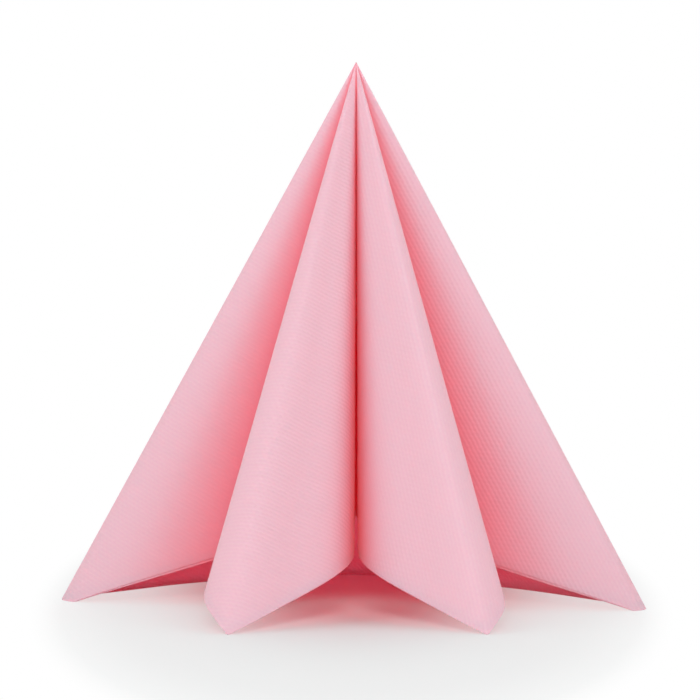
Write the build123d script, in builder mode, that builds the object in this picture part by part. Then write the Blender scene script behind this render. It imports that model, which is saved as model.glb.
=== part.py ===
from build123d import *
import math
import os

# Party napkin folded into a standing cone of four rounded lobes.
#
# A square napkin is folded so that two layers lie on each other, with the fold as its hem. The folded
# sheet hangs from one sharp peak. It stands on the corners of its hem, two lobes in front and a wing
# at each side, and on its round back. Between the lobes the sheet goes inwards in pleats. Every
# straight line from the peak to the hem lies in the sheet, so the whole wall is one general cone, and
# its level cuts are all the same shape at other scales.
#
# Frame: +Z up, millimetres. The table is Z = 0, the front is -Y, and the origin is the middle of the
# napkin's footprint. The plan is first laid out round the foot of the peak.

# The napkin and its folding
layer_thickness = 0.55
layer_count = 2
wall = layer_count * layer_thickness
tip_bend = 1.6  # length of each corner that the table presses flat
corner_half_angle = 45.0  # between the ridge and the hem in the flat sheet

# How it stands. The ridges are half a side of the flat napkin, 200 mm, from these two.
peak_height = 175.7
foot_reach = 95.55  # from the foot of the peak out to the foot of each ridge
tip_flat_drop = 2.5  # the blunt top face lies this far under the sharp peak
hollow_top_drop = 3.5  # the cone of the inner face starts this far under the peak
hollow_cap_drop = 24.0  # above this the layers are pressed into one

# Feet, as azimuths from the front, positive to the right
left_wing_azimuth = -89.5
left_front_azimuth = -24.2
right_front_azimuth = 24.2
right_wing_azimuth = 74.0

# Valleys between the feet, and the back
front_pleat_gap = 2.8
front_pleat_mouth = 50.0
front_pleat_end = 5.0
side_valley_reach = 13.5
side_valley_azimuth = 75.0
back_reach = 76.0
left_shoulder_azimuth = -136.5
left_shoulder_reach = 74.0
right_shoulder_azimuth = 126.5
right_shoulder_reach = 62.5

# How far the walls bulge from straight chords, and where along them, as a share of the chord
front_face_bulge = 5.4
front_face_full_share = 0.25
front_face_fading_share = 0.61
front_face_fading = 0.6
front_ridge_round = 9.0
front_ridge_share = 0.03
front_side_bulge = 15.0
front_side_full_share = 0.20
front_side_fading_share = 0.56
front_side_fading = 0.9
wing_ridge_round = 3.0
wing_face_bulge = 2.0
wing_back_bulge = 2.0
wing_middle_share = 0.5

# Fineness of the curves
points_per_stretch = 6
wall_slant_factor = 1.1  # a level cut through the leaning wall is this much wider than the wall

napkin_side = 2 * math.hypot(foot_reach, peak_height)
ridge_length = napkin_side / 2 + tip_bend
half_gap = front_pleat_gap / 2


def at_azimuth(azimuth, reach):
    """Point at table level in the direction of an azimuth from the front."""
    angle = math.radians(azimuth)
    return (reach * math.sin(angle), -reach * math.cos(angle))


def bulged(start, end, share, bulge, side):
    """Point beside the chord from start to end, at a share of its length, bulge away to one side."""
    dx = end[0] - start[0]
    dy = end[1] - start[1]
    length = math.hypot(dx, dy)
    x = start[0] + share * dx - side * bulge * dy / length
    y = start[1] + share * dy + side * bulge * dx / length
    return (x, y)


def front_lobe(azimuth, side):
    """Knots of a front lobe from the pleat to its side valley. Side is -1 on the left, 1 on the right."""
    ridge = at_azimuth(azimuth, foot_reach)
    mouth = (side * half_gap, -front_pleat_mouth)
    deep = (side * half_gap, -(front_pleat_mouth + front_pleat_end) / 2)
    valley = at_azimuth(side * side_valley_azimuth, side_valley_reach)
    face_end = front_face_fading * front_face_bulge
    side_end = front_side_fading * front_side_bulge
    return [
        ("wall", deep),
        ("wall", mouth),
        ("wall", bulged(mouth, ridge, front_face_full_share, front_face_bulge, -side)),
        ("wall", bulged(mouth, ridge, front_face_fading_share, face_end, -side)),
        ("ridge", ridge),
        ("wall", bulged(ridge, valley, front_ridge_share, front_ridge_round, -side)),
        ("wall", bulged(ridge, valley, front_side_full_share, front_side_bulge, -side)),
        ("wall", bulged(ridge, valley, front_side_fading_share, side_end, -side)),
    ]


def wing(azimuth, shoulder, side):
    """Knots of a wing from its side valley to the shoulder of the back. Side as for the front lobes."""
    ridge = at_azimuth(azimuth, foot_reach)
    valley = at_azimuth(side * side_valley_azimuth, side_valley_reach)
    nose = wing_ridge_round / foot_reach
    return [
        ("valley", valley),
        ("wall", bulged(valley, ridge, wing_middle_share, wing_face_bulge, -side)),
        ("wall", bulged(valley, ridge, 1 - nose, wing_ridge_round, -side)),
        ("ridge", ridge),
        ("wall", bulged(ridge, shoulder, nose, wing_ridge_round, -side)),
        ("wall", bulged(ridge, shoulder, wing_middle_share, wing_back_bulge, -side)),
        ("wall", shoulder),
    ]


def plan_knots():
    """Knots of the whole plan, from the front pleat round the left side, the back and the right side."""
    left_shoulder = at_azimuth(left_shoulder_azimuth, left_shoulder_reach)
    right_shoulder = at_azimuth(right_shoulder_azimuth, right_shoulder_reach)
    left = front_lobe(left_front_azimuth, -1) + wing(left_wing_azimuth, left_shoulder, -1)
    right = front_lobe(right_front_azimuth, 1) + wing(right_wing_azimuth, right_shoulder, 1)
    front = [("valley", (0.0, -front_pleat_end))]
    back = [("back", (0.0, back_reach))]
    return front + left + back + right[::-1]


def mix(a, b, ta, tb, at):
    """Point on the straight line that is at a for ta and at b for tb."""
    w = (at - ta) / (tb - ta)
    return (a[0] + w * (b[0] - a[0]), a[1] + w * (b[1] - a[1]))


def between(knots, index, share):
    """Point on the centripetal Catmull-Rom curve through the closed ring of knots."""
    p = [knots[(index + step) % len(knots)][1] for step in (-1, 0, 1, 2)]
    t = [0.0]
    for a, b in zip(p, p[1:]):
        t.append(t[-1] + math.sqrt(math.dist(a, b)))
    at = t[1] + share * (t[2] - t[1])
    a1 = mix(p[0], p[1], t[0], t[1], at)
    a2 = mix(p[1], p[2], t[1], t[2], at)
    a3 = mix(p[2], p[3], t[2], t[3], at)
    b1 = mix(a1, a2, t[0], t[2], at)
    b2 = mix(a2, a3, t[1], t[3], at)
    return mix(b1, b2, t[1], t[2], at)


def flat_angle(a, b):
    """Angle at the peak between the rulings through two plan points, which is their angle in the flat."""
    ua = Vector(a[0], a[1], -peak_height).normalized()
    ub = Vector(b[0], b[1], -peak_height).normalized()
    return 2 * math.asin((ub - ua).length / 2)


def scaled(point, drop, top_drop):
    """Plan point carried up its ruling to a drop below the peak, for a cone that starts at top_drop."""
    share = (drop - top_drop) / (peak_height - top_drop)
    return (point[0] * share, point[1] * share, peak_height - drop)


# The plan is a ring of points, with the kind of each knot on the point that it made
knots = plan_knots()
ring = []
kinds = []
for index, (kind, _) in enumerate(knots):
    for step in range(points_per_stretch):
        ring.append(between(knots, index, step / points_per_stretch))
        kinds.append(kind if step == 0 else "wall")
count = len(ring)

# Inner plan: each point moves inwards, square to the line through its neighbours
inner_ring = []
for i in range(count):
    before = ring[i - 1]
    after = ring[(i + 1) % count]
    tangent = (Vector(*after) - Vector(*before)).normalized()
    inwards = Vector(tangent.Y, -tangent.X) * wall * wall_slant_factor
    inner_ring.append((ring[i][0] + inwards.X, ring[i][1] + inwards.Y))

# Drop of the hem below the peak. In front the hem is straight in the flat sheet, at the corner angle
# to its ridge, and behind the two wings it lies on the table.
along = [0.0]
for i in range(count):
    along.append(along[-1] + flat_angle(ring[i], ring[(i + 1) % count]))
round_angle = along[-1]
ridges = [i for i in range(count) if kinds[i] == "ridge"]
left_wing, right_wing = ridges[1:3]
corner = math.radians(corner_half_angle)
foot_drop = ridge_length * peak_height / math.hypot(foot_reach, peak_height)
hem_drops = []
for i in range(count):
    steps = [abs(along[i] - along[r]) for r in ridges]
    away = min(min(step, round_angle - step) for step in steps)
    ruling = ridge_length * math.sin(corner) / math.sin(math.pi - corner - away)
    drop = ruling * peak_height / math.hypot(*ring[i], peak_height)
    hem_drops.append(foot_drop if left_wing <= i <= right_wing else drop)

# The wall is made of narrow strips between neighbouring rulings. Two rulings of a cone meet at its
# peak, so each strip is flat. Only the strips round the hem are slightly twisted.
outer_top = [scaled(point, tip_flat_drop, 0.0) for point in ring]
outer_hem = [scaled(point, drop, 0.0) for point, drop in zip(ring, hem_drops)]
inner_hem = [scaled(point, drop, hollow_top_drop) for point, drop in zip(inner_ring, hem_drops)]
inner_top = [scaled(point, hollow_cap_drop, hollow_top_drop) for point in inner_ring]


def flat_strip(upper, lower, i):
    """Flat face between two neighbouring rulings, from one ring to the next."""
    after = (i + 1) % count
    return Face(Wire.make_polygon([upper[i], upper[after], lower[after], lower[i]]))


def hem_strip(i):
    """Face round the hem, from the outer skin to the inner one."""
    after = (i + 1) % count
    outer = Edge.make_line(outer_hem[i], outer_hem[after])
    inner = Edge.make_line(inner_hem[i], inner_hem[after])
    return Face.make_surface_from_curves(outer, inner)


faces = [Face(Wire.make_polygon(outer_top)), Face(Wire.make_polygon(inner_top))]
for i in range(count):
    faces.append(flat_strip(outer_top, outer_hem, i))
    faces.append(hem_strip(i))
    faces.append(flat_strip(inner_top, inner_hem, i))

with BuildPart() as standing:
    add(Solid(Shell(faces)))
    split(bisect_by=Plane.XY, keep=Keep.TOP)

# The origin goes to the middle of the footprint
middle = standing.part.bounding_box().center()
with BuildPart() as napkin:
    with Locations((-middle.X, -middle.Y, 0)):
        add(standing.part, clean=False)

napkin.part.label = "folded_napkin"
os.makedirs("parts", exist_ok=True)
export_step(napkin.part, "parts/folded_napkin.step")
print("flat angle round the peak", round(math.degrees(round_angle), 1), "degrees")
print("peak over", round(-middle.X, 3), round(-middle.Y, 3))
print("solids", len(napkin.part.solids()), "volume", round(napkin.part.volume), "valid", napkin.part.is_valid)
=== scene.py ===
"""Looks of the party napkin: a folded sheet of embossed paper, standing on a pale table."""
import logging
import math
from dataclasses import dataclass, field
from enum import Enum

import bpy
import numpy as np
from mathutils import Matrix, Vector


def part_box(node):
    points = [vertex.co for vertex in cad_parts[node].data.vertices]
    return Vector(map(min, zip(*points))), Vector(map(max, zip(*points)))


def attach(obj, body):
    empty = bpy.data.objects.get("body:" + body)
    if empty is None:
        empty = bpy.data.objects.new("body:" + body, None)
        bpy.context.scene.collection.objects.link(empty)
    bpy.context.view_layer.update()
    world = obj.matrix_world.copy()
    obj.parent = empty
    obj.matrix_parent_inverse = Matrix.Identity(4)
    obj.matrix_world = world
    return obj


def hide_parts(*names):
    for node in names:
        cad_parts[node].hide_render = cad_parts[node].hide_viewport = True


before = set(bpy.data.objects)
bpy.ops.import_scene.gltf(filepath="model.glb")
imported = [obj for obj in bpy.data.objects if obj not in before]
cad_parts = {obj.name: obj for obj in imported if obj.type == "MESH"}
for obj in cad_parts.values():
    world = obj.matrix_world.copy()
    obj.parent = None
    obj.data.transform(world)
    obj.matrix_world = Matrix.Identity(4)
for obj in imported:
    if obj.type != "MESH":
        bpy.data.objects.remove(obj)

log = logging.getLogger("napkin")
MM = 0.001
NODE = "folded_napkin"
PIECE = "napkin_sheet"

# Inputs of the node that maps a range, and the sockets of the node that mixes two colours
VALUE, FROM_LOW, FROM_HIGH, TO_LOW, TO_HIGH = range(5)
FACTOR, COLOUR_A, COLOUR_B = 0, 6, 7
MIXED_COLOUR = 2


class Kind(Enum):
    """What a knot of the plan is to the fold."""

    WALL = "wall"
    RIDGE = "ridge"
    VALLEY = "valley"


@dataclass(frozen=True)
class Knot:
    """One knot of the plan, in millimetres round the foot of the peak."""

    kind: Kind
    x: float
    y: float


def at_azimuth(azimuth: float, reach: float) -> tuple[float, float]:
    """Give the point at table level in the direction of an azimuth from the front.

    Args:
        azimuth: Degrees from the front, positive to the right.
        reach: Distance from the foot of the peak.

    Returns:
        The point's x and y.
    """
    angle = math.radians(azimuth)
    return (reach * math.sin(angle), -reach * math.cos(angle))


def bulged(
    start: tuple[float, float], end: tuple[float, float], share: float, bulge: float, side: int
) -> tuple[float, float]:
    """Give a point beside the chord from start to end.

    Args:
        start: First end of the chord.
        end: Other end of the chord.
        share: How far along the chord the point is, from 0 to 1.
        bulge: How far beside the chord it is.
        side: Which side, -1 or 1.

    Returns:
        The point's x and y.
    """
    dx = end[0] - start[0]
    dy = end[1] - start[1]
    length = math.hypot(dx, dy)
    x = start[0] + share * dx - side * bulge * dy / length
    y = start[1] + share * dy + side * bulge * dx / length
    return (x, y)


@dataclass(frozen=True)
class FoldPlan:
    """Plan of the standing napkin at table level, in millimetres round the foot of the peak.

    Azimuths are degrees from the front, positive to the right. A bulge is measured square to a
    chord, and a share is how far along that chord the bulge stands.
    """

    # The folded sheet: each ridge is half a side of the flat napkin
    peak_height: float = 175.7
    half_side: float = 200.0
    # Feet
    left_wing_azimuth: float = -89.5
    left_front_azimuth: float = -24.2
    right_front_azimuth: float = 24.6
    right_wing_azimuth: float = 74.0
    # Pleat in the middle of the front, and the valley at each side
    front_pleat_gap: float = 2.2
    front_pleat_mouth: float = 50.0
    front_pleat_end: float = 5.0
    side_valley_reach: float = 13.5
    side_valley_azimuth: float = 75.0
    # Round back
    back_reach: float = 76.0
    left_shoulder_azimuth: float = -136.5
    left_shoulder_reach: float = 74.0
    right_shoulder_azimuth: float = 126.5
    right_shoulder_reach: float = 62.5
    # Faces of the front lobes, from the pleat to the ridge
    front_face_bulge: float = 5.4
    front_face_full_share: float = 0.25
    front_face_fading_share: float = 0.61
    front_face_fading: float = 0.6
    # Flanks of the front lobes, from the ridge to the side valley. The left one is the rounder
    front_ridge_round: float = 9.0
    front_ridge_share: float = 0.03
    front_side_bulge: float = 15.0
    front_side_full_share: float = 0.20
    front_side_fading_share: float = 0.56
    front_side_fading: float = 0.9
    front_side_uneven: float = 1.2
    # Faces of the wings, from the side valley to the ridge
    wing_face_bulge: float = 9.0
    wing_face_rising_share: float = 0.35
    wing_face_rising: float = 0.8
    wing_face_full_share: float = 0.72
    wing_ridge_round: float = 3.5
    wing_ridge_share: float = 0.955
    # Backs of the wings, from the ridge to the shoulder
    wing_back_round: float = 3.5
    wing_back_share: float = 0.04
    wing_back_bulge: float = 4.0
    wing_back_middle: float = 0.5

    @property
    def foot_reach(self) -> float:
        """Distance of each foot from the foot of the peak, from the ridge and the height."""
        return math.sqrt(self.half_side**2 - self.peak_height**2)

    def front_lobe(self, azimuth: float, side: int) -> list[Knot]:
        """Give the knots of a front lobe, from the pleat to its side valley.

        Args:
            azimuth: Direction of the lobe's foot.
            side: -1 on the left, 1 on the right.

        Returns:
            The knots in order.
        """
        ridge = at_azimuth(azimuth, self.foot_reach)
        valley = at_azimuth(side * self.side_valley_azimuth, self.side_valley_reach)
        wall_x = side * self.front_pleat_gap / 2
        mouth = (wall_x, -self.front_pleat_mouth)
        deep = (wall_x, -(self.front_pleat_mouth + self.front_pleat_end) / 2)
        face = self.front_face_bulge
        face_end = face * self.front_face_fading
        flank = self.front_side_bulge - side * self.front_side_uneven
        flank_end = flank * self.front_side_fading
        nose = self.front_ridge_round - side * self.front_side_uneven
        return [
            Knot(Kind.WALL, *deep),
            Knot(Kind.WALL, *mouth),
            Knot(Kind.WALL, *bulged(mouth, ridge, self.front_face_full_share, face, -side)),
            Knot(Kind.WALL, *bulged(mouth, ridge, self.front_face_fading_share, face_end, -side)),
            Knot(Kind.RIDGE, *ridge),
            Knot(Kind.WALL, *bulged(ridge, valley, self.front_ridge_share, nose, -side)),
            Knot(Kind.WALL, *bulged(ridge, valley, self.front_side_full_share, flank, -side)),
            Knot(Kind.WALL, *bulged(ridge, valley, self.front_side_fading_share, flank_end, -side)),
        ]

    def wing(self, azimuth: float, shoulder: tuple[float, float], side: int) -> list[Knot]:
        """Give the knots of a wing, from its side valley to the shoulder of the back.

        Args:
            azimuth: Direction of the wing's foot.
            shoulder: Where the wing's back runs into the round back.
            side: -1 on the left, 1 on the right.

        Returns:
            The knots in order.
        """
        ridge = at_azimuth(azimuth, self.foot_reach)
        valley = at_azimuth(side * self.side_valley_azimuth, self.side_valley_reach)
        face = self.wing_face_bulge
        rising = face * self.wing_face_rising
        return [
            Knot(Kind.VALLEY, *valley),
            Knot(Kind.WALL, *bulged(valley, ridge, self.wing_face_rising_share, rising, -side)),
            Knot(Kind.WALL, *bulged(valley, ridge, self.wing_face_full_share, face, -side)),
            Knot(Kind.WALL, *bulged(valley, ridge, self.wing_ridge_share, self.wing_ridge_round, -side)),
            Knot(Kind.RIDGE, *ridge),
            Knot(Kind.WALL, *bulged(ridge, shoulder, self.wing_back_share, self.wing_back_round, -side)),
            Knot(Kind.WALL, *bulged(ridge, shoulder, self.wing_back_middle, self.wing_back_bulge, -side)),
            Knot(Kind.WALL, *shoulder),
        ]

    def knots(self) -> list[Knot]:
        """Give the knots of the whole plan, from the front pleat by the left, the back and the right.

        Returns:
            The closed ring of knots.
        """
        left_shoulder = at_azimuth(self.left_shoulder_azimuth, self.left_shoulder_reach)
        right_shoulder = at_azimuth(self.right_shoulder_azimuth, self.right_shoulder_reach)
        left = self.front_lobe(self.left_front_azimuth, -1)
        left += self.wing(self.left_wing_azimuth, left_shoulder, -1)
        right = self.front_lobe(self.right_front_azimuth, 1)
        right += self.wing(self.right_wing_azimuth, right_shoulder, 1)
        front = [Knot(Kind.VALLEY, 0.0, -self.front_pleat_end)]
        back = [Knot(Kind.WALL, 0.0, self.back_reach)]
        return front + left + back + right[::-1]

    def ring(self, samples: int) -> np.ndarray:
        """Lay the centripetal Catmull-Rom curve through the closed ring of knots.

        Each stretch is a blend of straight lines through four knots in turn, paced by the square
        root of the distance between knots.

        Args:
            samples: Points for each stretch between two knots.

        Returns:
            Points of the ring, one row each, in millimetres.
        """
        here = np.array([(knot.x, knot.y) for knot in self.knots()])
        p = [np.roll(here, 1 - step, axis=0)[:, None, :] for step in range(4)]
        gaps = [np.sqrt(np.linalg.norm(b - a, axis=2, keepdims=True)) for a, b in zip(p, p[1:])]
        t = [np.zeros_like(gaps[0]), gaps[0], gaps[0] + gaps[1], gaps[0] + gaps[1] + gaps[2]]
        share = (np.arange(samples) / samples)[None, :, None]
        at = t[1] + share * (t[2] - t[1])

        def mix(a: np.ndarray, b: np.ndarray, ta: np.ndarray, tb: np.ndarray) -> np.ndarray:
            """Straight line that is at a for ta and at b for tb."""
            return a + (at - ta) / (tb - ta) * (b - a)

        first = [mix(p[k], p[k + 1], t[k], t[k + 1]) for k in range(3)]
        second = [mix(first[k], first[k + 1], t[k], t[k + 2]) for k in range(2)]
        return mix(second[0], second[1], t[1], t[2]).reshape(-1, 2)


def hex_to_linear(code: str) -> tuple[float, float, float, float]:
    """Turn an sRGB hex colour to linear red, green, blue and alpha.

    Args:
        code: Six hex digits.

    Returns:
        Linear colour with alpha 1.
    """
    values = [int(code[k : k + 2], 16) / 255 for k in (0, 2, 4)]
    linear = [v / 12.92 if v <= 0.04045 else ((v + 0.055) / 1.055) ** 2.4 for v in values]
    return (linear[0], linear[1], linear[2], 1.0)


def add_node(
    tree: bpy.types.NodeTree, kind: str, settings: dict | None = None, links: dict | None = None
) -> bpy.types.Node:
    """Add one shader node with its settings and links.

    Args:
        tree: Node tree that takes the node.
        kind: The node's type name.
        settings: Attributes of the node to set, by name.
        links: Values or output sockets for its inputs, by name or index.

    Returns:
        The new node.
    """
    made = tree.nodes.new(kind)
    for name, value in (settings or {}).items():
        setattr(made, name, value)
    for name, value in (links or {}).items():
        if isinstance(value, bpy.types.NodeSocket):
            tree.links.new(value, made.inputs[name])
        else:
            made.inputs[name].default_value = value
    return made


@dataclass(frozen=True)
class AirlaidPaper:
    """Airlaid pulp paper, dyed in the mass and embossed between rollers.

    To the eye it is matt and soft, with fine raised ribs. Light that goes through it comes back
    more red, and in its folds a deeper red shade is painted into its colour.
    """

    # The dyed ground, the fibres on raised places, light through the sheet, and the painted shade of a deep
    # fold
    colour: str = "F5E4F5"
    fibre_colour: str = "F8EEF8"
    through_colour: str = "FF8CA0"
    fold_shade_colour: str = "FE8093"
    # Share of the light that goes through
    through: float = 0.4
    # Openness up to which the painted fold shade is full, and from which it is gone
    shut_in: float = 0.12
    open: float = 1.02
    # Embossing: ribs, crossed by rows of dents that make bricks of them
    rib_pitch: float = 1.3 * MM
    cross_pitch: float = 1.8 * MM
    rib_height: float = 0.06 * MM
    rib_part: float = 0.6
    brick_part: float = 0.45
    # Clumps of fibre to the metre, and how far the coarse ones push a rib as a share of its pitch
    fibre_scale: float = 1400.0
    fibre_detail: float = 4.0
    fibre_part: float = 0.9
    drift_scale: float = 300.0
    drift_detail: float = 2.0
    drift_share: float = 0.4
    # The fibre colour's share at no relief, and its gain with the relief
    crest_start: float = 0.25
    crest_gain: float = 0.4
    roughness: float = 0.9
    specular: float = 0.15
    sheen: float = 0.4
    sheen_roughness: float = 0.6

    def make(self) -> bpy.types.Material:
        """Build the paper's node tree.

        The relief is a sine across the ribs, plus the product of a sine at half that pace and one
        along the ribs, plus the fibres. It gives the bump and the paler crests.

        Returns:
            The material.
        """
        material = bpy.data.materials.new("airlaid_paper_embossed")
        material.use_nodes = True
        tree = material.node_tree
        tree.nodes.clear()
        flat = add_node(tree, "ShaderNodeUVMap", {"uv_map": "flat_sheet"}).outputs[0]
        place = add_node(tree, "ShaderNodeTexCoord").outputs["Object"]
        parts = add_node(tree, "ShaderNodeSeparateXYZ", links={0: flat})
        # Fibres push the ribs a little out of line
        drift = add_node(
            tree,
            "ShaderNodeTexNoise",
            links={"Vector": place, "Scale": self.drift_scale, "Detail": self.drift_detail},
        )
        shift = add_node(
            tree,
            "ShaderNodeMath",
            {"operation": "MULTIPLY_ADD"},
            {0: drift.outputs["Fac"], 1: self.drift_share * self.rib_pitch, 2: parts.outputs["X"]},
        )
        waves = []
        for line, pitch in (
            (shift.outputs[0], self.rib_pitch),
            (shift.outputs[0], 2 * self.rib_pitch),
            (parts.outputs["Y"], self.cross_pitch),
        ):
            turns = add_node(
                tree, "ShaderNodeMath", {"operation": "MULTIPLY"}, {0: line, 1: 2 * math.pi / pitch}
            )
            wave = add_node(tree, "ShaderNodeMath", {"operation": "SINE"}, {0: turns.outputs[0]})
            waves.append(wave.outputs[0])
        rib, half, cross = waves
        brick = add_node(tree, "ShaderNodeMath", {"operation": "MULTIPLY"}, {0: half, 1: cross})
        ribs = add_node(tree, "ShaderNodeMath", {"operation": "MULTIPLY"}, {0: rib, 1: self.rib_part})
        emboss = add_node(
            tree,
            "ShaderNodeMath",
            {"operation": "MULTIPLY_ADD"},
            {0: brick.outputs[0], 1: self.brick_part, 2: ribs.outputs[0]},
        )
        fibre = add_node(
            tree,
            "ShaderNodeTexNoise",
            links={"Vector": place, "Scale": self.fibre_scale, "Detail": self.fibre_detail},
        )
        relief = add_node(
            tree,
            "ShaderNodeMath",
            {"operation": "MULTIPLY_ADD"},
            {0: fibre.outputs["Fac"], 1: self.fibre_part, 2: emboss.outputs[0]},
        )
        bump = add_node(
            tree,
            "ShaderNodeBump",
            links={"Height": relief.outputs[0], "Strength": 1.0, "Distance": self.rib_height},
        )
        crest = add_node(
            tree,
            "ShaderNodeMath",
            {"operation": "MULTIPLY_ADD"},
            {0: relief.outputs[0], 1: self.crest_gain, 2: self.crest_start},
        )
        tint = add_node(
            tree,
            "ShaderNodeMix",
            {"data_type": "RGBA", "clamp_factor": True},
            {
                FACTOR: crest.outputs[0],
                COLOUR_A: hex_to_linear(self.colour),
                COLOUR_B: hex_to_linear(self.fibre_colour),
            },
        )
        # Painted shade: where a point is shut in, the colour goes to a deep red, standing in for light that
        # passes the dyed pulp again and again between close layers
        free = add_node(tree, "ShaderNodeAttribute", {"attribute_name": "openness"}).outputs["Fac"]
        lit = add_node(
            tree,
            "ShaderNodeMapRange",
            {"interpolation_type": "SMOOTHSTEP"},
            {VALUE: free, FROM_LOW: self.shut_in, FROM_HIGH: self.open},
        )
        fold_shade = add_node(
            tree,
            "ShaderNodeMix",
            {"data_type": "RGBA", "clamp_factor": True},
            {
                FACTOR: lit.outputs[0],
                COLOUR_A: hex_to_linear(self.fold_shade_colour),
                COLOUR_B: tint.outputs[MIXED_COLOUR],
            },
        )
        shader = add_node(
            tree,
            "ShaderNodeBsdfPrincipled",
            links={
                "Base Color": fold_shade.outputs[MIXED_COLOUR],
                "Roughness": self.roughness,
                "Normal": bump.outputs[0],
                "Specular IOR Level": self.specular,
                "Sheen Weight": self.sheen,
                "Sheen Roughness": self.sheen_roughness,
            },
        )
        glow = add_node(
            tree, "ShaderNodeBsdfTranslucent", links={"Color": hex_to_linear(self.through_colour)}
        )
        both = add_node(
            tree, "ShaderNodeMixShader", links={0: self.through, 1: shader.outputs[0], 2: glow.outputs[0]}
        )
        add_node(tree, "ShaderNodeOutputMaterial", links={0: both.outputs[0]})
        return material


@dataclass
class FoldedNapkin:
    """The folded sheet: two skins from the peak down to the hem, joined there by the fold.

    Lengths are in millimetres and flat angles in radians, unless MM stands beside a value.
    """

    plan: FoldPlan = field(default_factory=FoldPlan)
    finish: AirlaidPaper = field(default_factory=AirlaidPaper)
    flat_side: float = 400 * MM
    # Points for each stretch of the plan, rows of each skin, and how closely they crowd at the top
    samples: int = 16
    skin_rows: int = 70
    skin_pace: float = 1.3
    hollow_rows: int = 40
    hollow_pace: float = 1.2
    # The wall, and how much wider a level cut through the leaning wall is
    wall: float = 1.1
    wall_slant: float = 1.1
    # The hem hangs a little low, and each of the four corners differs by a length and over an angle
    hem_slack: float = 1.6
    corner_changes: tuple[float, ...] = (-1.3, 2.0, 1.0, -1.3)
    corner_turns: tuple[float, ...] = (0.15, 0.28, 0.20, 0.15)
    # Tops of the skins, as drops under the peak: the outer skin, the inner cone and its first row
    peak_drop: float = 0.4
    hollow_drop: float = 3.5
    hollow_start: float = 12.0
    # The fold at the hem: its rounding, its share of the wall, the notch between its two lips, and
    # how far the inner lip hangs below the outer one on the wings and in front
    lip: float = 0.35
    lip_rows: int = 7
    lip_share: float = 0.42
    notch: float = 1.6
    wing_lip: float = 1.0
    front_lip: float = 0.5
    # The raised edge of each inner flap: over which angle, and how far as a share of the wall
    flap_ramp: float = 0.12
    flap_lift: float = 0.3
    # Looks from each ruling: how many, how far to each side in degrees, from how far off the wall,
    # and over how many neighbours each way the result is averaged
    looks: int = 22
    widest_look: float = 84.0
    look_from: float = 0.05
    look_blur: int = 6
    # Both below set painted shade: the hollow's openness gives its even painted shade, and each face's
    # change moves its painted fold shade
    # Openness of the hollow, and changes that bring the faces to the photo's tones. A wing's two
    # values are at its valley and at its ridge, and below free_from a change fades out
    hollow_open: float = 0.75
    front_shade_change: float = 0.12
    left_wing_shade_change: tuple[float, float] = (-0.13, 0.22)
    right_wing_shade_change: tuple[float, float] = (0.16, 0.24)
    free_from: float = 0.3
    # What rulings() works out: one value or row for each ruling, and places in the ring
    ring: np.ndarray = field(init=False, repr=False)
    tangent: np.ndarray = field(init=False, repr=False)
    outwards: np.ndarray = field(init=False, repr=False)
    inner_ring: np.ndarray = field(init=False, repr=False)
    slant: np.ndarray = field(init=False, repr=False)
    along: np.ndarray = field(init=False, repr=False)
    hem: np.ndarray = field(init=False, repr=False)
    inner_hem: np.ndarray = field(init=False, repr=False)
    ridges: list[int] = field(init=False, repr=False)
    valleys: list[int] = field(init=False, repr=False)

    def rulings(self) -> None:
        """Work out the ring, its inner ring, flat angles and hem drops as whole arrays.

        The flat angle is added up from the angles between neighbouring rulings at the peak. The hem
        is a straight line in the flat sheet at 45 degrees to the ridge, so a ruling's length is the
        ridge's over the sum of the cosine and sine of its flat angle from the ridge. The inner lip
        hangs lowest half way between two feet, as a product of the hem's lift and what is left of it.
        """
        plan = self.plan
        self.ring = plan.ring(self.samples)
        count = len(self.ring)
        kinds = [knot.kind for knot in plan.knots()]
        self.ridges = [k * self.samples for k, kind in enumerate(kinds) if kind is Kind.RIDGE]
        self.valleys = [k * self.samples for k, kind in enumerate(kinds) if kind is Kind.VALLEY]
        step = np.roll(self.ring, -1, axis=0) - np.roll(self.ring, 1, axis=0)
        self.tangent = step / np.linalg.norm(step, axis=1, keepdims=True)
        self.outwards = np.stack([-self.tangent[:, 1], self.tangent[:, 0]], axis=1)
        self.inner_ring = self.ring - self.outwards * self.wall * self.wall_slant
        rays = np.column_stack([self.ring, np.full(count, -plan.peak_height)])
        self.slant = np.linalg.norm(rays, axis=1)
        units = rays / self.slant[:, None]
        chords = np.linalg.norm(np.roll(units, -1, axis=0) - units, axis=1)
        self.along = np.concatenate([[0.0], np.cumsum(2 * np.arcsin(chords / 2))])
        away = np.abs(self.along[:-1, None] - self.along[self.ridges][None, :])
        away = np.minimum(away, self.along[-1] - away)
        nearest = away.argmin(axis=1)
        away = away.min(axis=1)
        fade = np.maximum(0.0, 1 - away / np.array(self.corner_turns)[nearest]) ** 2
        length = (plan.half_side + self.hem_slack) / (np.cos(away) + np.sin(away))
        length += np.array(self.corner_changes)[nearest] * fade
        self.hem = np.minimum(length * plan.peak_height / self.slant, plan.peak_height)
        self.hem[self.ridges[1] : self.ridges[2] + 1] = plan.peak_height
        lift = np.clip(1 - self.hem / plan.peak_height, 0.0, 1.0)
        lift /= lift.max()
        index = np.arange(count)
        is_wing = (index >= self.valleys[1]) & (index <= self.valleys[2])
        hang = np.where(is_wing, self.wing_lip, self.front_lip)
        self.inner_hem = self.hem + hang * 4 * lift * (1 - lift)

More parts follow.
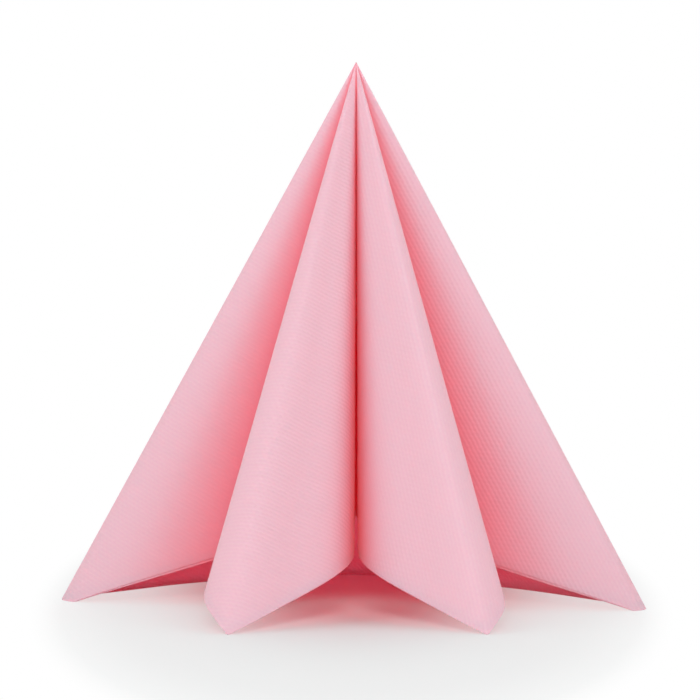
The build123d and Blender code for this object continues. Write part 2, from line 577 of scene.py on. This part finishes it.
    def openness(self) -> np.ndarray:
        """Work out how open each ruling lies to the room, from 0 deep in a fold to 1.

        It is the share of level directions in front of the wall that meet no other wall of the plan,
        each weighted by its cosine to the wall. A ray meets a wall's segment where both lines cross
        ahead of the ray and between the segment's ends. The result is averaged over its neighbours,
        and the faces' own changes are added. The paper paints its fold shade by this openness.

        Returns:
            One value for each ruling.
        """
        turns = np.radians(np.linspace(-self.widest_look, self.widest_look, self.looks))
        ahead_part = np.cos(turns)[None, :, None] * self.outwards[:, None]
        rays = ahead_part + np.sin(turns)[None, :, None] * self.tangent[:, None]
        from_wall = self.ring + self.look_from * self.outwards
        side = (np.roll(self.ring, -1, axis=0) - self.ring)[None, None]
        gap = self.ring[None, None] - from_wall[:, None, None]
        ray = rays[:, :, None]
        denominator = ray[..., 0] * side[..., 1] - ray[..., 1] * side[..., 0]
        denominator = np.where(np.abs(denominator) < 1e-9, 1e-9, denominator)
        ahead = (gap[..., 0] * side[..., 1] - gap[..., 1] * side[..., 0]) / denominator
        place = (gap[..., 0] * ray[..., 1] - gap[..., 1] * ray[..., 0]) / denominator
        met = ((ahead > 1e-3) & (place >= 0) & (place <= 1)).any(axis=2)
        weights = np.cos(turns)
        free = ((~met) * weights).sum(axis=1) / weights.sum()
        steps = range(-self.look_blur, self.look_blur + 1)
        free = np.mean([np.roll(free, step) for step in steps], axis=0)
        return free + self.shade_change() * np.clip(free / self.free_from, 0.0, 1.0)

    def shade_change(self) -> np.ndarray:
        """Give each ruling's change of openness, which moves the painted fold shade.

        It is even on the two front faces, and a straight line from valley to ridge on a wing's face.

        Returns:
            One value for each ruling.
        """
        change = np.zeros(len(self.ring))
        change[: self.ridges[0]] = self.front_shade_change
        change[self.ridges[3] :] = self.front_shade_change
        left_face = slice(self.valleys[1], self.ridges[1])
        right_face = slice(self.ridges[2], self.valleys[2])
        change[left_face] = np.linspace(*self.left_wing_shade_change, len(change[left_face]))
        change[right_face] = np.linspace(*self.right_wing_shade_change[::-1], len(change[right_face]))
        return change

    def point(self, drop: np.ndarray, share: np.ndarray, columns: np.ndarray) -> np.ndarray:
        """Place points of the wall.

        Each skin is a cone: its plan ring is scaled by how far down from its own peak the level is.
        Between the skins the point is a straight blend.

        Args:
            drop: Distance under the peak, rows by columns, in millimetres.
            share: 0 on the outer skin and 1 on the inner one, rows by columns.
            columns: Each column's place in the ring.

        Returns:
            Points, rows by columns by 3, in metres, round the foot of the peak.
        """
        height = self.plan.peak_height
        outer = self.ring[columns][None] * (drop / height)[..., None]
        inside = np.maximum(drop - self.hollow_drop, 0.0) / (height - self.hollow_drop)
        inner = self.inner_ring[columns][None] * inside[..., None]
        flat = outer + (inner - outer) * share[..., None]
        return np.concatenate([flat, (height - drop)[..., None]], axis=2) * MM

    def outside(self) -> tuple[np.ndarray, np.ndarray]:
        """Lay the profile down the outer skin and round the fold at the hem.

        The fold is two rounded lips, each half a turn of a sine, with a notch between them.

        Returns:
            Drops and shares of the wall, rows by rulings.
        """
        hem = self.hem[None, :]
        down = np.linspace(0.0, 1.0, self.skin_rows)[:, None] ** self.skin_pace
        outer = self.peak_drop + (hem - self.lip - self.peak_drop) * down
        bend = np.linspace(0.0, math.pi, self.lip_rows)[:, None]
        below = self.lip * np.sin(bend) - self.lip
        notch = hem - self.lip - self.notch
        rows = np.concatenate([outer[:-1], hem + below, notch, self.inner_hem[None, :] + below])
        lips = self.lip_share * (1 - np.cos(bend[:, 0])) / 2
        share = np.concatenate([np.zeros(self.skin_rows - 1), lips, [0.5], 1 - self.lip_share + lips])
        rows = np.minimum(rows, self.plan.peak_height)
        return rows, np.broadcast_to(share[:, None], rows.shape)

    def inside(self) -> tuple[np.ndarray, np.ndarray, np.ndarray, np.ndarray]:
        """Lay the inner skin up from the hem as four flaps, which meet with raw edges at the ridges.

        Each flap's last stretch stands off the skin by a smooth ramp of its flat angle.

        Returns:
            Drops and shares, rows by columns, each column's place in the ring, and its flap.
        """
        count = len(self.ring)
        ends = self.ridges + [self.ridges[0] + count]
        spans = [np.arange(a, b + 1) for a, b in zip(ends, ends[1:])]
        flap = np.concatenate([np.full(len(span), k) for k, span in enumerate(spans)])
        places = np.concatenate(spans)
        columns = places % count
        turns = self.along[columns] + self.along[-1] * (places // count)
        last = np.array([turns[flap == k].max() for k in range(len(spans))])[flap]
        near = np.clip(1 - (last - turns) / self.flap_ramp, 0.0, 1.0)
        near = near * near * (3 - 2 * near)
        up = np.linspace(1.0, 0.0, self.hollow_rows)[1:, None] ** self.hollow_pace
        hem = np.minimum(self.inner_hem[None, columns], self.plan.peak_height) - self.lip
        rows = self.hollow_start + (hem - self.hollow_start) * up
        return rows, 1 + self.flap_lift * near[None, :] * np.ones_like(rows), columns, flap

    def faces(
        self, skin_rows: int, hollow_rows: int, columns: np.ndarray, flap: np.ndarray
    ) -> tuple[list[list[int]], np.ndarray]:
        """Join the points to faces that look out of the paper.

        The outer skin's rows run round the whole ring and the inner skin's along each flap. A strip
        joins them at the hem, and a fan closes each at its top.

        Args:
            skin_rows: Rows of the outer skin and the fold.
            hollow_rows: Rows of the inner skin.
            columns: Each inner column's place in the ring.
            flap: Each inner column's flap.

        Returns:
            The faces, and the first ruling of the stretch that each lies in.
        """
        count, wide = len(self.ring), len(columns)
        index = np.arange(count)
        after = (index + 1) % count
        top = np.arange(skin_rows - 1)[:, None] * count
        outer = np.stack([top + count + index, top + count + after, top + after, top + index], axis=-1)
        seam = (skin_rows - 1) * count
        base = skin_rows * count
        near = np.flatnonzero(flap[:-1] == flap[1:])
        hem = seam + columns
        join = np.stack([base + near, base + near + 1, hem[near + 1], hem[near]], axis=-1)
        rise = base + np.arange(hollow_rows - 1)[:, None] * wide
        inner = np.stack([rise + wide + near, rise + wide + near + 1, rise + near + 1, rise + near], axis=-1)
        last = base + (hollow_rows - 1) * wide
        peak = last + wide
        crown = peak + 1
        fan = np.column_stack([index, after, np.full(count, peak)])
        lid = np.column_stack([last + near + 1, last + near, np.full(len(near), crown)])
        groups = [outer.reshape(-1, 4), join, inner.reshape(-1, 4), fan, lid]
        first = columns[near]
        owners = [np.tile(index, skin_rows - 1), first, np.tile(first, hollow_rows - 1), index, first]
        return [face for group in groups for face in group.tolist()], np.concatenate(owners)

    def build(self) -> bpy.types.Object:
        """Build the napkin's mesh with its flat-sheet map and its openness, which sets the painted fold
        shade.

        Returns:
            The finished object, over the middle of the frame's node.
        """
        self.rulings()
        index = np.arange(len(self.ring))
        drop, share = self.outside()
        in_drop, in_share, columns, flap = self.inside()
        skin = self.point(drop, share, index)
        hollow = self.point(in_drop, in_share, columns)
        height = self.plan.peak_height
        poles = np.array([[0.0, 0.0, height], [0.0, 0.0, height - self.hollow_start]]) * MM
        verts = np.concatenate([skin.reshape(-1, 3), hollow.reshape(-1, 3), poles])
        low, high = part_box(NODE)
        foot = skin[..., :2].reshape(-1, 2)
        middle = np.array([(low[0] + high[0]) / 2, (low[1] + high[1]) / 2])
        shift = middle - (foot.min(axis=0) + foot.max(axis=0)) / 2
        verts[:, :2] += shift
        log.info("peak over %s", shift.round(5).tolist())
        faces, owners = self.faces(len(skin), len(hollow), columns, flap)
        mesh = bpy.data.meshes.new(PIECE)
        mesh.from_pydata(verts.tolist(), [], faces)
        rulings = np.concatenate([np.tile(index, len(skin)), np.tile(columns, len(hollow)), [0, 0]])
        drops = np.concatenate([drop.ravel(), in_drop.ravel(), [0.0, 0.0]])
        self.map_flat(mesh, rulings, drops, owners)
        # Painted shade: the inner skin takes one even openness; the peak lies open, and the crown inside it
        # is shut in
        hollow_free = np.full(in_drop.size, self.hollow_open)
        free = np.concatenate([np.tile(self.openness(), len(skin)), hollow_free, [1.0, 0.0]])
        layer = mesh.attributes.new("openness", "FLOAT", "POINT")
        layer.data.foreach_set("value", free.astype(np.float32))
        mesh.polygons.foreach_set("use_smooth", np.ones(len(mesh.polygons), dtype=bool))
        mesh.update()
        piece = bpy.data.objects.new(PIECE, mesh)
        bpy.context.collection.objects.link(piece)
        return piece

    def map_flat(
        self, mesh: bpy.types.Mesh, rulings: np.ndarray, drops: np.ndarray, owners: np.ndarray
    ) -> None:
        """Map the faces to the flat sheet, in metres, so that the ribs run along V.

        A point's polar place in the flat is its distance from the peak and its flat angle from the
        ridge of its lobe. On the left lobes U is the distance along the ridge, and on the right
        lobes it is the distance across it.

        Args:
            mesh: The napkin's mesh.
            rulings: Each vertex's place in the ring.
            drops: Each vertex's drop under the peak, in millimetres.
            owners: The first ruling of the stretch that each face lies in.
        """
        count = len(self.ring)
        corner = np.empty(len(mesh.loops), dtype=np.int64)
        mesh.loops.foreach_get("vertex_index", corner)
        sizes = np.empty(len(mesh.polygons), dtype=np.int64)
        mesh.polygons.foreach_get("loop_total", sizes)
        stretch = np.repeat(owners, sizes)
        ruling = rulings[corner]
        wrapped = (stretch == count - 1) & (ruling == 0)
        angle = np.where(wrapped, self.along[-1], self.along[ruling])
        angle = np.where(drops[corner] > 0, angle, self.along[stretch])
        reach = drops[corner] * self.slant[ruling] / self.plan.peak_height
        edges = np.array([self.valleys[1], self.ridges[2], self.valleys[2]])
        lobe = np.searchsorted(edges, stretch, side="right")
        away = angle - self.along[np.array(self.ridges)[lobe]]
        along, across = reach * np.cos(away), reach * np.sin(away)
        left = lobe < 2
        flat = np.column_stack([np.where(left, along, across), np.where(left, across, along)]) * MM
        layer = mesh.uv_layers.new(name="flat_sheet")
        layer.data.foreach_set("uv", flat.astype(np.float32).ravel())

    def dress(self, piece: bpy.types.Object) -> None:
        """Give the napkin its paper, hide the part it takes the place of and hang it on the root body.

        Args:
            piece: The napkin's object.
        """
        piece.data.materials.append(self.finish.make())
        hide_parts(NODE)
        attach(piece, "root")


@dataclass(frozen=True)
class SoftLamp:
    """One square soft lamp: its name, its place and side in metres, and its power in watts."""

    name: str
    place: tuple[float, float, float]
    side: float
    watts: float


@dataclass(frozen=True)
class LacqueredBoard:
    """White lacquered board of the table top, smooth and pale, with a faint reflection.

    Distances are in metres from the middle of an oval, which is long from front to back. To the
    camera the board fades between them, first to a painted grey light beside the feet, then to the white
    background.
    """

    colour: str = "F0F5F4"
    roughness: float = 0.55
    specular: float = 0.05
    oval_shift: tuple[float, float, float] = (0.0, -0.015, 0.0)
    oval_scale: tuple[float, float, float] = (1.0, 0.3, 1.0)
    # Beside the feet the background comes in up to a share, as a painted, slightly grey light that pales the
    # napkin's shadow there
    fade: tuple[float, float] = (0.022, 0.08)
    painted_light_share: float = 0.72
    painted_light_brightness: float = 0.88
    # Further out it takes over whole, and white
    white: tuple[float, float] = (0.074, 0.106)

    def make(self) -> bpy.types.Material:
        """Build the board's node tree.

        Returns:
            The material, which keeps the napkin's shadow close round its feet and pales it further out with
            a painted light.
        """
        material = bpy.data.materials.new("white_lacquered_board")
        material.use_nodes = True
        tree = material.node_tree
        tree.nodes.clear()
        shader = add_node(
            tree,
            "ShaderNodeBsdfPrincipled",
            links={
                "Base Color": hex_to_linear(self.colour),
                "Roughness": self.roughness,
                "Specular IOR Level": self.specular,
            },
        )
        place = add_node(tree, "ShaderNodeTexCoord").outputs["Object"]
        oval = add_node(
            tree,
            "ShaderNodeMapping",
            links={"Vector": place, "Location": self.oval_shift, "Scale": self.oval_scale},
        )
        reach = add_node(tree, "ShaderNodeVectorMath", {"operation": "LENGTH"}, {0: oval.outputs[0]})
        beside, far = [
            add_node(
                tree,
                "ShaderNodeMapRange",
                {"interpolation_type": "SMOOTHSTEP"},
                {VALUE: reach.outputs["Value"], FROM_LOW: start, FROM_HIGH: end, TO_HIGH: most},
            )
            for (start, end), most in ((self.fade, self.painted_light_share), (self.white, 1.0))
        ]
        bright = add_node(
            tree,
            "ShaderNodeMath",
            {"operation": "MULTIPLY_ADD"},
            {0: far.outputs[0], 1: 1 - self.painted_light_brightness, 2: self.painted_light_brightness},
        )
        # To the camera the board glows: a painted, slightly grey light beside the feet, white backdrop
        # further out
        white = add_node(
            tree, "ShaderNodeEmission", links={"Color": (1, 1, 1, 1), "Strength": bright.outputs[0]}
        )
        fade = add_node(
            tree, "ShaderNodeMath", {"operation": "MAXIMUM"}, {0: beside.outputs[0], 1: far.outputs[0]}
        )
        ray = add_node(tree, "ShaderNodeLightPath").outputs["Is Camera Ray"]
        amount = add_node(tree, "ShaderNodeMath", {"operation": "MULTIPLY"}, {0: fade.outputs[0], 1: ray})
        mixed = add_node(
            tree,
            "ShaderNodeMixShader",
            links={0: amount.outputs[0], 1: shader.outputs[0], 2: white.outputs[0]},
        )
        add_node(tree, "ShaderNodeOutputMaterial", links={0: mixed.outputs[0]})
        return material


@dataclass
class Studio:
    """Pale table, soft lamps and the camera at the photo's viewing angle, in metres."""

    board: LacqueredBoard = field(default_factory=LacqueredBoard)
    table_radius: float = 3.0
    table_sides: int = 96
    lamps: tuple[SoftLamp, ...] = (
        SoftLamp("left_soft_lamp", (-1.75, -0.7, 0.72), 1.4, 6.8),
        SoftLamp("right_soft_lamp", (1.5, -1.15, 0.72), 1.4, 5.2),
        SoftLamp("front_lamp", (0.0, -1.65, 0.8), 0.5, 13.3),
    )
    # Brightness of the room in front, at the sides and behind, and the directions between which it
    # changes, as parts of a unit vector
    room_front: float = 0.18
    room_side: float = 0.95
    room_back: float = 1.25
    side_turn: tuple[float, float] = (0.25, 0.85)
    back_turn: tuple[float, float] = (0.2, 0.8)
    # Light has to bounce many times in the folds before it comes out red
    bounces: int = 20
    # Camera: where it looks, how far off and how many degrees up it is, and its lens in millimetres
    aim: tuple[float, float, float] = (-0.27 * MM, 5.56 * MM, 82.0 * MM)
    distance: float = 1.2
    elevation: float = 3.0
    lens: float = 189.3
    sensor_width: float = 36.0
    far_end: float = 20.0

    def table(self) -> bpy.types.Object:
        """Lay the round table top, at the level that the napkin stands on.

        Returns:
            The table top.
        """
        angles = np.linspace(0, 2 * math.pi, self.table_sides, endpoint=False)
        ring = np.column_stack([np.cos(angles), np.sin(angles), np.zeros_like(angles)]) * self.table_radius
        mesh = bpy.data.meshes.new("table_top")
        mesh.from_pydata(ring.tolist(), [], [list(range(len(ring)))])
        top = bpy.data.objects.new("table_top", mesh)
        bpy.context.collection.objects.link(top)
        top.data.materials.append(self.board.make())
        return top

    def hang(self, lamp: SoftLamp) -> bpy.types.Object:
        """Hang one soft lamp that looks at the napkin.

        Args:
            lamp: What the lamp is.

        Returns:
            The lamp's object.
        """
        light = bpy.data.lights.new(lamp.name, "AREA")
        light.size = lamp.side
        light.energy = lamp.watts
        made = bpy.data.objects.new(lamp.name, light)
        bpy.context.collection.objects.link(made)
        made.location = lamp.place
        self.look(made)
        return made

    def look(self, thing: bpy.types.Object) -> None:
        """Turn a lamp or the camera to look at the aim."""
        way = Vector(self.aim) - thing.location
        thing.rotation_euler = way.to_track_quat("-Z", "Y").to_euler()

    def world(self) -> None:
        """Give a soft light from all round, white to the camera and in reflections.

        The room is bright at the sides and behind, like the walls of a light tent, and dim in front.
        """
        world = bpy.data.worlds.new("studio_world")
        bpy.context.scene.world = world
        world.use_nodes = True
        tree = world.node_tree
        tree.nodes.clear()
        paths = add_node(tree, "ShaderNodeLightPath")
        seen = add_node(
            tree,
            "ShaderNodeMath",
            {"operation": "MAXIMUM"},
            {0: paths.outputs["Is Camera Ray"], 1: paths.outputs["Is Glossy Ray"]},
        )
        way = add_node(tree, "ShaderNodeTexCoord").outputs["Generated"]
        parts = add_node(tree, "ShaderNodeSeparateXYZ", links={0: way})
        sideways = add_node(tree, "ShaderNodeMath", {"operation": "ABSOLUTE"}, {0: parts.outputs["X"]})
        sides, behind = [
            add_node(
                tree,
                "ShaderNodeMapRange",
                {"interpolation_type": "SMOOTHSTEP"},
                {VALUE: part, FROM_LOW: turn[0], FROM_HIGH: turn[1], TO_LOW: least, TO_HIGH: most},
            )
            for part, turn, least, most in (
                (sideways.outputs[0], self.side_turn, self.room_front, self.room_side),
                (parts.outputs["Y"], self.back_turn, 0.0, self.room_back),
            )
        ]
        room = add_node(
            tree, "ShaderNodeMath", {"operation": "MAXIMUM"}, {0: sides.outputs[0], 1: behind.outputs[0]}
        )
        strength = add_node(
            tree, "ShaderNodeMapRange", links={VALUE: seen.outputs[0], TO_LOW: room.outputs[0], TO_HIGH: 1.0}
        )
        back = add_node(
            tree, "ShaderNodeBackground", links={"Color": (1, 1, 1, 1), "Strength": strength.outputs[0]}
        )
        add_node(tree, "ShaderNodeOutputWorld", links={0: back.outputs[0]})

    def camera(self) -> None:
        """Set the camera at the photo's angle."""
        data = bpy.data.cameras.new("camera")
        data.lens = self.lens
        data.sensor_width = self.sensor_width
        data.clip_end = self.far_end
        made = bpy.data.objects.new("camera", data)
        bpy.context.collection.objects.link(made)
        angle = math.radians(self.elevation)
        back, up = self.distance * math.cos(angle), self.distance * math.sin(angle)
        made.location = (self.aim[0], self.aim[1] - back, self.aim[2] + up)
        self.look(made)
        bpy.context.scene.camera = made

    def set_up(self) -> None:
        """Put the whole studio in place."""
        scene = bpy.context.scene
        scene.view_settings.view_transform = "Standard"
        scene.cycles.max_bounces = self.bounces
        scene.cycles.diffuse_bounces = self.bounces
        scene.cycles.transmission_bounces = self.bounces
        self.table()
        self.world()
        for lamp in self.lamps:
            self.hang(lamp)
        self.camera()


def main() -> None:
    """Build the studio and the napkin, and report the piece."""
    logging.basicConfig(level=logging.INFO)
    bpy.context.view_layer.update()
    Studio().set_up()
    napkin = FoldedNapkin()
    piece = napkin.build()
    napkin.dress(piece)
    log.info("%s: %d faces", piece.name, len(piece.data.polygons))


if __name__ == "__main__":
    main()
